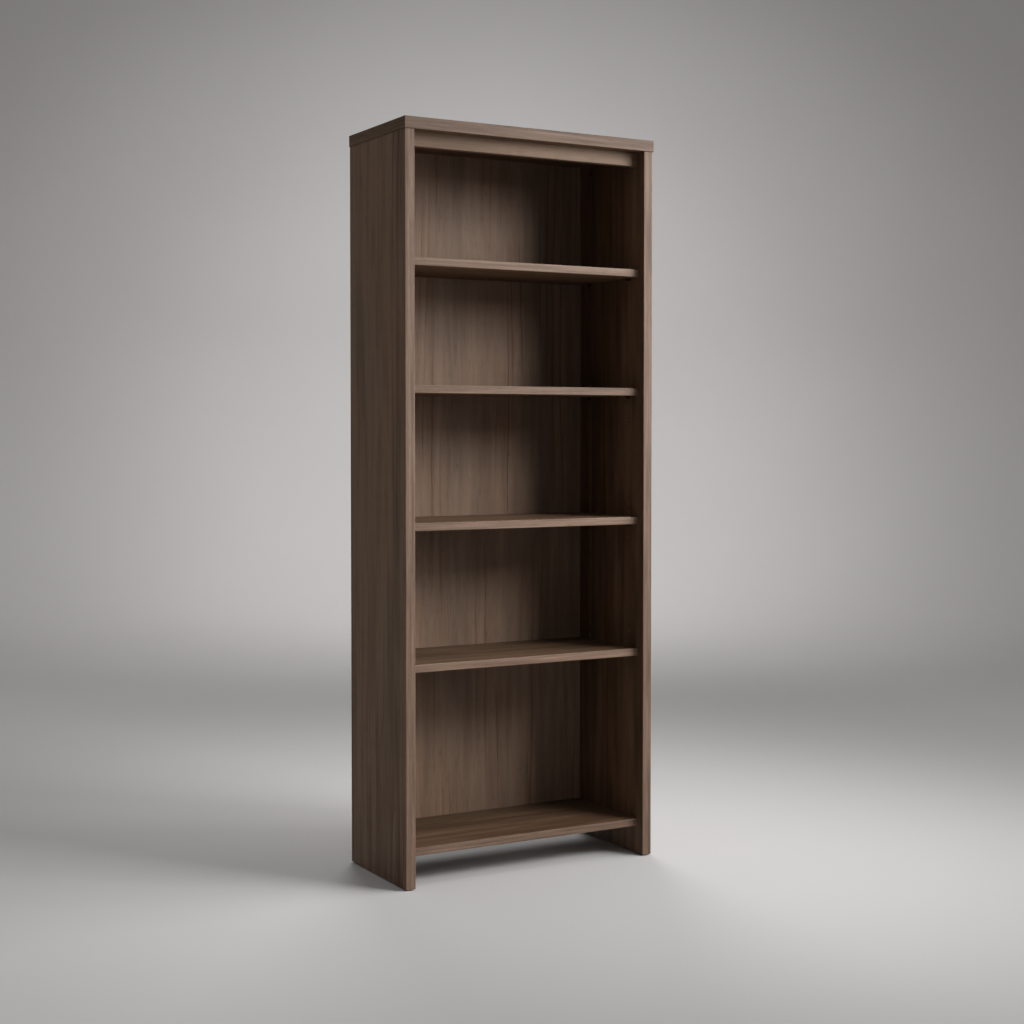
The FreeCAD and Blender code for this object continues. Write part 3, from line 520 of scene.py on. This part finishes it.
@dataclass(frozen=True)
class Plastic:
    """Moulded plastic: its colour, its roughness and the depth of its fine spark texture."""

    colour: Colour
    roughness: float = 0.55
    pit_waves: Point = (2200.0, 2200.0, 2200.0)
    scuff_waves: Point = (180.0, 180.0, 900.0)
    scuff_grey: float = 0.09
    texture: float = 0.00003

    def shade(self, name: str) -> bpy.types.Material:
        """Makes the plastic, scuffed to a paler grey in places.

        Args:
            name: The material's name.

        Returns:
            The material.
        """
        graph = Graph(name)
        pits = graph.speckle(self.pit_waves)
        worn = graph.speckle(self.scuff_waves, 4.0).rise(0.56, 0.72)
        paler = tuple(0.7 * part + self.scuff_grey for part in self.colour)
        colour = graph.blend(self.colour, paler, worn * 0.6)
        roughness = self.roughness + (pits - 0.5) * 0.2 + worn * 0.12
        return Surface(graph, colour, roughness, pits * self.texture).shade()


@dataclass(frozen=True)
class Beech:
    """The turned dowels: pale beech with short dark flecks along the grain."""

    pale: Colour = (0.56, 0.40, 0.25)
    fleck: Colour = (0.36, 0.22, 0.12)
    fleck_waves: Waves = (70.0, 900.0)
    cloud_waves: Waves = (20.0, 260.0)
    fleck_depth: float = 0.00004

    def shade(self, name: str, along: Axis) -> bpy.types.Material:
        """Makes the wood for dowels that lie along an axis.

        Args:
            name: The material's name.
            along: The dowels' axis.

        Returns:
            The material.
        """
        graph = Graph(name)
        close, wide = (
            [waves[0] if axis is along else waves[1] for axis in Axis]
            for waves in (self.fleck_waves, self.cloud_waves)
        )
        flecks = graph.speckle(close).rise(0.56, 0.66)
        cloud = graph.speckle(wide, 3.0)
        colour = graph.blend(self.pale, self.fleck, flecks * 0.7 + (cloud - 0.5) * 0.5)
        roughness = 0.68 + (cloud - 0.5) * 0.2
        return Surface(graph, colour, roughness, flecks * -self.fleck_depth).shade()


# Sub-assemblies -------------------------------------------------------------------------------------------

DECOR = WoodPrint()
BAND_PRINT = WoodPrint(
    dark=(0.110, 0.067, 0.045),
    middle=(0.179, 0.116, 0.082),
    light=(0.249, 0.166, 0.121),
    streaking=1.65,
    streak_waves=(4.0, 150.0),
)
SIDE_PRINT = WoodPrint(streaking=1.7, streak_waves=(3.0, 60.0))
END_PRINT = WoodPrint(
    dark=(0.072, 0.046, 0.028),
    middle=(0.134, 0.086, 0.054),
    light=(0.192, 0.127, 0.082),
    streaking=1.65,
    streak_waves=(4.0, 150.0),
)
BACK_PRINT = WoodPrint(
    dark=(0.087, 0.053, 0.034),
    middle=(0.161, 0.102, 0.068),
    light=(0.231, 0.153, 0.106),
    banding=0.85,
    streaking=0.80,
    roughness=0.56,
)
PIN_METAL = Metal((0.095, 0.072, 0.054), roughness=0.34)
BOARD_GLOSS = 0.22  # the specular level of the boards' print
STRIP_FIGURE = 0.35  # how much of the wood's figure shows on a narrow strip


def dress(node: str, material: bpy.types.Material) -> None:
    """Gives a CAD node one material all over."""
    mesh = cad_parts[node].data
    mesh.materials.clear()
    mesh.materials.append(material)
    LOG.info("%s wears %s", node, material.name)


@dataclass(frozen=True)
class Board:
    """A laminated board: its printed faces, and its bare core at the edges and in the holes."""

    node: str
    grain: Grain
    print: WoodPrint = DECOR
    skin: float = 0.00015

    def printed_faces(self, graph: Graph) -> Signal:
        """1 on the two wide faces, and 0 on the edges and in drilled holes."""
        low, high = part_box(self.node)
        axis = self.grain.through
        near = graph.here[axis].close_to(low[axis.place], self.skin)
        return near.most(graph.here[axis].close_to(high[axis.place], self.skin))

    def dress(self) -> None:
        """Lays the print over the faces and the chipboard over the rest."""
        graph = Graph(f"laminate_{self.node}")
        printed = self.print.lay(graph, self.grain)
        bare = Chipboard().lay(graph)
        dressed = printed.over(bare, self.printed_faces(graph))
        dress(self.node, dressed.shade(specular=BOARD_GLOSS))


@dataclass(frozen=True)
class BackBoard(Board):
    """The thin back: printed in front and bare hardboard behind."""

    print: WoodPrint = BACK_PRINT

    def dress(self) -> None:
        """Lays the print over the front face and the hardboard over the rest."""
        low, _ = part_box(self.node)
        graph = Graph(f"laminate_{self.node}")
        printed = self.print.lay(graph, self.grain)
        front = graph.here[Axis.Y].close_to(low.y, self.skin)
        dressed = printed.over(Hardboard().lay(graph), front)
        dress(self.node, dressed.shade(specular=BOARD_GLOSS))


@dataclass(frozen=True)
class EdgeBand:
    """A printed plastic strip on a board's edge, with a thin dark glue line where it meets the board."""

    node: str
    grain: Grain
    outward: Axis
    faces_low: bool
    print: WoodPrint = BAND_PRINT
    glue_line: float = 0.00018
    glue: Colour = (0.34, 0.29, 0.25)
    gloss: float = 0.20

    def dress(self) -> None:
        """Lays the print over the strip and darkens its inner border."""
        low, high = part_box(self.node)
        inner = (high if self.faces_low else low)[self.outward.place]
        graph = Graph(f"band_{self.node}")
        printed = self.print.lay(graph, self.grain)
        depth = abs(graph.here[self.outward] - inner)
        border = depth.rise(self.glue_line * 1.6, self.glue_line * 0.6)
        printed.colour = graph.tint(printed.colour, self.glue, border)
        dress(self.node, printed.shade(specular=self.gloss))


@dataclass
class Carcass:
    """The fixed case: sides, top, bottom shelf, rail and back, with their edge bands."""

    boards: list[Board] = field(default_factory=list)
    bands: list[EdgeBand] = field(default_factory=list)

    def __post_init__(self) -> None:
        """Lists the boards and bands with the way that each one's grain runs."""

        def upright(**cut: float) -> Grain:
            """Grain that runs up a side."""
            return Grain(Axis.Z, Axis.Y, **cut)

        def level(**cut: float) -> Grain:
            """Grain that runs along a level board."""
            return Grain(Axis.X, Axis.Y, **cut)

        left = upright(seed=1.0, heart=0.02, depth=-0.060, slant=0.045, figure=1.3, tone=0.10)
        right = upright(seed=2.0, heart=-0.04, depth=0.050, slant=-0.030, tone=-0.1)
        top = level(seed=3.0, heart=0.05, depth=0.030, slant=0.060)
        bottom = level(seed=4.0, heart=-0.02, depth=0.035, slant=0.050, tone=-0.12)
        rail = Grain(Axis.X, Axis.Z, seed=5.0, heart=1.60, figure=STRIP_FIGURE, tone=0.24)
        cut = {"depth": -0.030, "slant": 0.024, "tone": 0.08, "core": 0.9}
        back = Grain(Axis.Z, Axis.X, seed=6.0, heart=0.097, **cut)
        self.boards += [
            Board("left_side_panel", left, SIDE_PRINT),
            Board("right_side_panel", right),
            Board("top_panel", top),
            Board("bottom_shelf", bottom),
            Board("front_rail", rail),
            BackBoard("back_panel", back),
        ]

        def strip(along: Axis, across: Axis, seed: float, heart: float, tone: float = 0.0) -> Grain:
            """Grain on a narrow strip."""
            return Grain(along, across, seed, heart, figure=STRIP_FIGURE, tone=tone)

        self.bands += [
            EdgeBand("left_side_edge_band", strip(Axis.Z, Axis.X, 7.0, -0.50, 0.08), Axis.Y, True),
            EdgeBand("right_side_edge_band", strip(Axis.Z, Axis.X, 8.0, 0.50, -0.11), Axis.Y, True),
            EdgeBand("top_front_edge_band", strip(Axis.X, Axis.Z, 9.0, 1.62, -0.12), Axis.Y, True),
            EdgeBand("bottom_shelf_edge_band", strip(Axis.X, Axis.Z, 12.0, -0.10, -0.12), Axis.Y, True),
            EdgeBand("front_rail_edge_band", strip(Axis.X, Axis.Y, 13.0, -0.40), Axis.Z, True),
        ]
        for name, seed, heart, faces_low in (("left", 10.0, 1.63, True), ("right", 11.0, 1.64, False)):
            grain = strip(Axis.Y, Axis.Z, seed, heart)
            node = f"top_{name}_edge_band"
            self.bands.append(EdgeBand(node, grain, Axis.X, faces_low, END_PRINT, gloss=0.08))

    def dress(self) -> None:
        """Dresses every board and band."""
        for piece in (*self.boards, *self.bands):
            piece.dress()


@dataclass
class AdjustableShelf:
    """One loose shelf with its front band and the four pins that it lies on."""

    number: int
    heart: float = 0.04
    slant: float = 0.05
    top_tone: float = -0.1
    front_tone: float = 0.0

    def dress(self, pin_metal: bpy.types.Material) -> None:
        """Dresses the board, the band and the pins.

        Args:
            pin_metal: The plated metal of the pins.
        """
        name = f"shelf_{self.number}"
        seed = 20.0 + 2.0 * self.number
        cut = {"heart": self.heart, "depth": 0.03, "slant": self.slant, "tone": self.top_tone}
        Board(name, Grain(Axis.X, Axis.Y, seed=seed, **cut)).dress()
        low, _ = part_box(name)
        cut = {"heart": low.z - 0.15, "figure": STRIP_FIGURE, "tone": self.front_tone}
        front = Grain(Axis.X, Axis.Z, seed=seed + 1.0, **cut)
        EdgeBand(f"{name}_edge_band", front, Axis.Y, True).dress()
        for side in ("left", "right"):
            for column in ("front", "rear"):
                dress(f"{name}_pin_{column}_{side}", pin_metal)


@dataclass
class Fasteners:
    """What holds the boards together: cam locks, cam bolts, dowels, nails and the glides underneath."""

    bronzed: Metal = Metal((0.100, 0.076, 0.058), roughness=0.45)
    steel: Metal = Metal((0.58, 0.57, 0.55), roughness=0.28)
    glide: Plastic = Plastic((0.020, 0.019, 0.018))

    def dress(self) -> None:
        """Dresses every fastener by what it is made of."""
        bronzed, steel = self.bronzed.shade("cam_bronzed"), self.steel.shade("fastener_steel")
        glide = self.glide.shade("glide_plastic")
        for joint in ("top", "bottom", "rail"):
            dress(f"{joint}_cam_locks", bronzed)
            dress(f"{joint}_cam_bolts", steel)
        dress("back_panel_nails", steel)
        dress("top_dowels", Beech().shade("beech_upright", Axis.Z))
        dress("rail_dowels", Beech().shade("beech_rail", Axis.Z))
        dress("bottom_dowels", Beech().shade("beech_level", Axis.X))
        for side in ("left", "right"):
            for column in ("front", "rear"):
                dress(f"glide_{column}_{side}", glide)


# Studio ---------------------------------------------------------------------------------------------------


def hang(lamp: bpy.types.Light, place: Sequence[float], aim: Sequence[float]) -> bpy.types.Object:
    """Hangs a lamp so that it faces a point.

    Args:
        lamp: The lamp's data.
        place: Where it hangs.
        aim: The point that it faces.

    Returns:
        The lamp's object.
    """
    hung = bpy.data.objects.new(lamp.name, lamp)
    hung.location = place
    hung.rotation_mode = "QUATERNION"
    hung.rotation_quaternion = (Vector(aim) - Vector(place)).to_track_quat("-Z", "Y")
    bpy.context.scene.collection.objects.link(hung)
    return hung


@dataclass(frozen=True)
class Softbox:
    """A soft rectangular lamp, placed by where it stands as seen from the bookcase.

    Azimuth is from the front towards the right side, and elevation is above the floor, in degrees.
    """

    name: str
    azimuth: float
    elevation: float
    distance: float
    width: float
    height: float
    power: float
    spread: float = 180.0
    aim: Point = (0.0, 0.0, 0.9)

    def build(self) -> None:
        """Hangs the lamp, out of the camera's sight."""
        lamp = bpy.data.lights.new(self.name, "AREA")
        lamp.shape = "RECTANGLE"
        lamp.size, lamp.size_y = self.width, self.height
        lamp.energy = self.power
        lamp.spread = math.radians(self.spread)
        turn, rise = math.radians(self.azimuth), math.radians(self.elevation)
        level = math.cos(rise)
        outward = np.array((math.sin(turn) * level, -math.cos(turn) * level, math.sin(rise)))
        place = np.array(self.aim) + outward * self.distance
        hang(lamp, place, self.aim).visible_camera = False


@dataclass(frozen=True)
class WallWash:
    """A soft round lamp above and behind the bookcase that lights a patch of the wall beyond it."""

    name: str
    cone: float
    power: float
    place: Point
    aim: Point
    softness: float = 0.5

    def build(self) -> None:
        """Hangs the lamp."""
        lamp = bpy.data.lights.new(self.name, "SPOT")
        lamp.energy = self.power
        lamp.spot_size = math.radians(self.cone)
        lamp.spot_blend = 1.0
        lamp.shadow_soft_size = self.softness
        hang(lamp, self.place, self.aim)


@dataclass
class Studio:
    """The room: a pale floor that curves up into a wall all round, soft lamps and the camera."""

    inner_radius: float = 0.02
    floor_radius: float = 5.0
    cove_radius: float = 1.8
    wall_height: float = 5.0
    floor_rings: int = 40
    cove_rings: int = 24
    wall_rings: int = 7
    steps: int = 128
    floor_colour: Colour = (0.57, 0.56, 0.555)
    # Painted light: the paler paper far out stands in for brighter light on the far floor and wall.
    far_painted_glow: Colour = (0.64, 0.625, 0.62)
    mottle_colour: Colour = (0.96, 0.96, 0.96)
    mottle_waves: Point = (1.4, 1.4, 1.4)
    grit_waves: Point = (300.0, 300.0, 300.0)
    grit: float = 0.00003
    ambient: Colour = (1.0, 1.0, 1.0)
    ambient_strength: float = 0.35
    camera_place: Point = (-2.04344, -3.64549, 1.07262)
    camera_turn: float = -29.586
    camera_tilt: float = 1.698
    focal_length: float = 58.881
    sensor_width: float = 36.0
    shift: float = -0.030
    lamps: Sequence[Union[Softbox, WallWash]] = (
        Softbox("key", 74.0, 45.0, 3.4, 1.3, 1.3, 35.0),
        Softbox("key_narrow", 38.0, 28.0, 3.4, 1.3, 1.3, 17.0, 70.0),
        Softbox("key_low", 56.0, 12.0, 3.4, 1.3, 1.3, 11.0, 70.0),
        Softbox("rear", 158.0, 32.0, 3.6, 1.6, 1.6, 9.0, 70.0),
        WallWash("wall_middle", 60.0, 240.0, (1.2, 2.2, 4.6), (3.00, 5.48, 0.90)),
        WallWash("wall_wide", 95.0, 350.0, (1.2, 2.2, 4.6), (3.00, 5.48, 1.00)),
        WallWash("far_floor", 66.0, 62.0, (1.9, 3.3, 4.6), (2.4, 4.2, 0.2)),
    )

    def profile(self) -> tuple[np.ndarray, np.ndarray]:
        """The room's outline from the middle outwards: a level run, a quarter circle and a plumb rise.

        Returns:
            Each point's distance from the middle, and its height.
        """
        flat = np.linspace(self.inner_radius, self.floor_radius, self.floor_rings)
        bend = np.linspace(0.0, math.pi / 2, self.cove_rings)[1:]
        wall = np.linspace(self.cove_radius, self.wall_height, self.wall_rings)[1:]
        outer = np.full_like(wall, self.floor_radius + self.cove_radius)
        radius = [flat, self.floor_radius + self.cove_radius * np.sin(bend), outer]
        height = [np.zeros_like(flat), self.cove_radius * (1 - np.cos(bend)), wall]
        return np.concatenate(radius), np.concatenate(height)

    def paper(self) -> bpy.types.Material:
        """Makes the room's matt paper, with a painted glow that makes it a little paler far away, a faint
        mottle and fine grit.

        Returns:
            The material.
        """
        graph = Graph("studio_paper")
        here = graph.here
        mottle = graph.speckle(self.mottle_waves, 3.0)
        reach = (here[Axis.X] * here[Axis.X] + here[Axis.Y] * here[Axis.Y]).root()
        # Painted light: the paper grows paler from 1.2 m to 3.6 m out, standing in for brighter light on the
        # far floor and wall.
        colour = graph.blend(self.floor_colour, self.far_painted_glow, reach.rise(1.2, 3.6))
        colour = graph.tint(colour, self.mottle_colour, mottle)
        height = graph.speckle(self.grit_waves) * self.grit
        return Surface(graph, colour, 0.72 + mottle * 0.1, height).shade(specular=0.25)

    def build_floor(self) -> None:
        """Makes floor, cove and wall in one surface.

        Each point of the outline is carried round the vertical axis, and a fan of triangles closes the
        middle.
        """
        radius, height = self.profile()
        steps, rings = self.steps, len(radius)
        turn = np.arange(steps) * (2 * math.pi / steps)
        x = radius[:, None] * np.cos(turn)[None, :]
        y = radius[:, None] * np.sin(turn)[None, :]
        z = np.repeat(height[:, None], steps, axis=1)
        points = np.concatenate([np.stack([x, y, z], -1).reshape(-1, 3), [[0.0, 0.0, 0.0]]])
        ring, step = np.meshgrid(np.arange(rings - 1), np.arange(steps), indexing="ij")
        after = (step + 1) % steps
        near, far = ring * steps, (ring + 1) * steps
        quads = np.stack([near + step, far + step, far + after, near + after], -1).reshape(-1, 4)
        around = np.arange(steps)
        fan = np.stack([np.full(steps, rings * steps), around, (around + 1) % steps], -1)
        mesh = bpy.data.meshes.new("studio_floor")
        mesh.from_pydata(points.tolist(), [], quads.tolist() + fan.tolist())
        mesh.polygons.foreach_set("use_smooth", np.ones(len(mesh.polygons), bool))
        mesh.materials.append(self.paper())
        floor = bpy.data.objects.new("studio_floor", mesh)
        bpy.context.scene.collection.objects.link(floor)
        floor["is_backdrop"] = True

    def build_world(self) -> None:
        """Gives the room an even dim light from all round."""
        world = bpy.data.worlds.new("studio_air")
        world.use_nodes = True
        background = world.node_tree.nodes["Background"]
        background.inputs["Color"].default_value = (*self.ambient, 1.0)
        background.inputs["Strength"].default_value = self.ambient_strength
        bpy.context.scene.world = world

    def build_camera(self) -> None:
        """Stands the camera left of the front, tilted down and with its lens lowered a little."""
        lens = bpy.data.cameras.new("camera")
        lens.lens = self.focal_length
        lens.sensor_width = self.sensor_width
        lens.shift_y = self.shift
        camera = bpy.data.objects.new("camera", lens)
        camera.location = self.camera_place
        rise, turn = math.radians(90.0 - self.camera_tilt), math.radians(self.camera_turn)
        camera.rotation_euler = (rise, 0.0, turn)
        bpy.context.scene.collection.objects.link(camera)
        bpy.context.scene.camera = camera

    def build(self) -> None:
        """Sets up the whole room."""
        self.build_floor()
        self.build_world()
        self.build_camera()
        for lamp in self.lamps:
            lamp.build()
            LOG.info("lamp %s at %.0f W", lamp.name, lamp.power)
        bpy.context.scene.view_settings.view_transform = "Standard"


def write_sizes() -> None:
    """Gathers the model's box and the dressed object's box as plain lists of numbers."""
    boxes = {"cad": CAD_BOUNDS, "visual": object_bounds()}
    plain = {name: [list(corner) for corner in box] for name, box in boxes.items()}


def main() -> None:
    """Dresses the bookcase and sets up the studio."""
    Studio().build()
    Carcass().dress()
    pin_metal = PIN_METAL.shade("pin_bronzed")
    for shelf in (
        AdjustableShelf(1, 0.03, 0.05, front_tone=-0.03),
        AdjustableShelf(2, -0.05, -0.04, front_tone=0.05),
        AdjustableShelf(3, 0.06, 0.035, front_tone=-0.05),
        AdjustableShelf(4, -0.02, 0.06, top_tone=-0.06, front_tone=0.08),
    ):
        shelf.dress(pin_metal)
    Fasteners().dress()
    write_sizes()


if __name__ == "__main__":
    main()
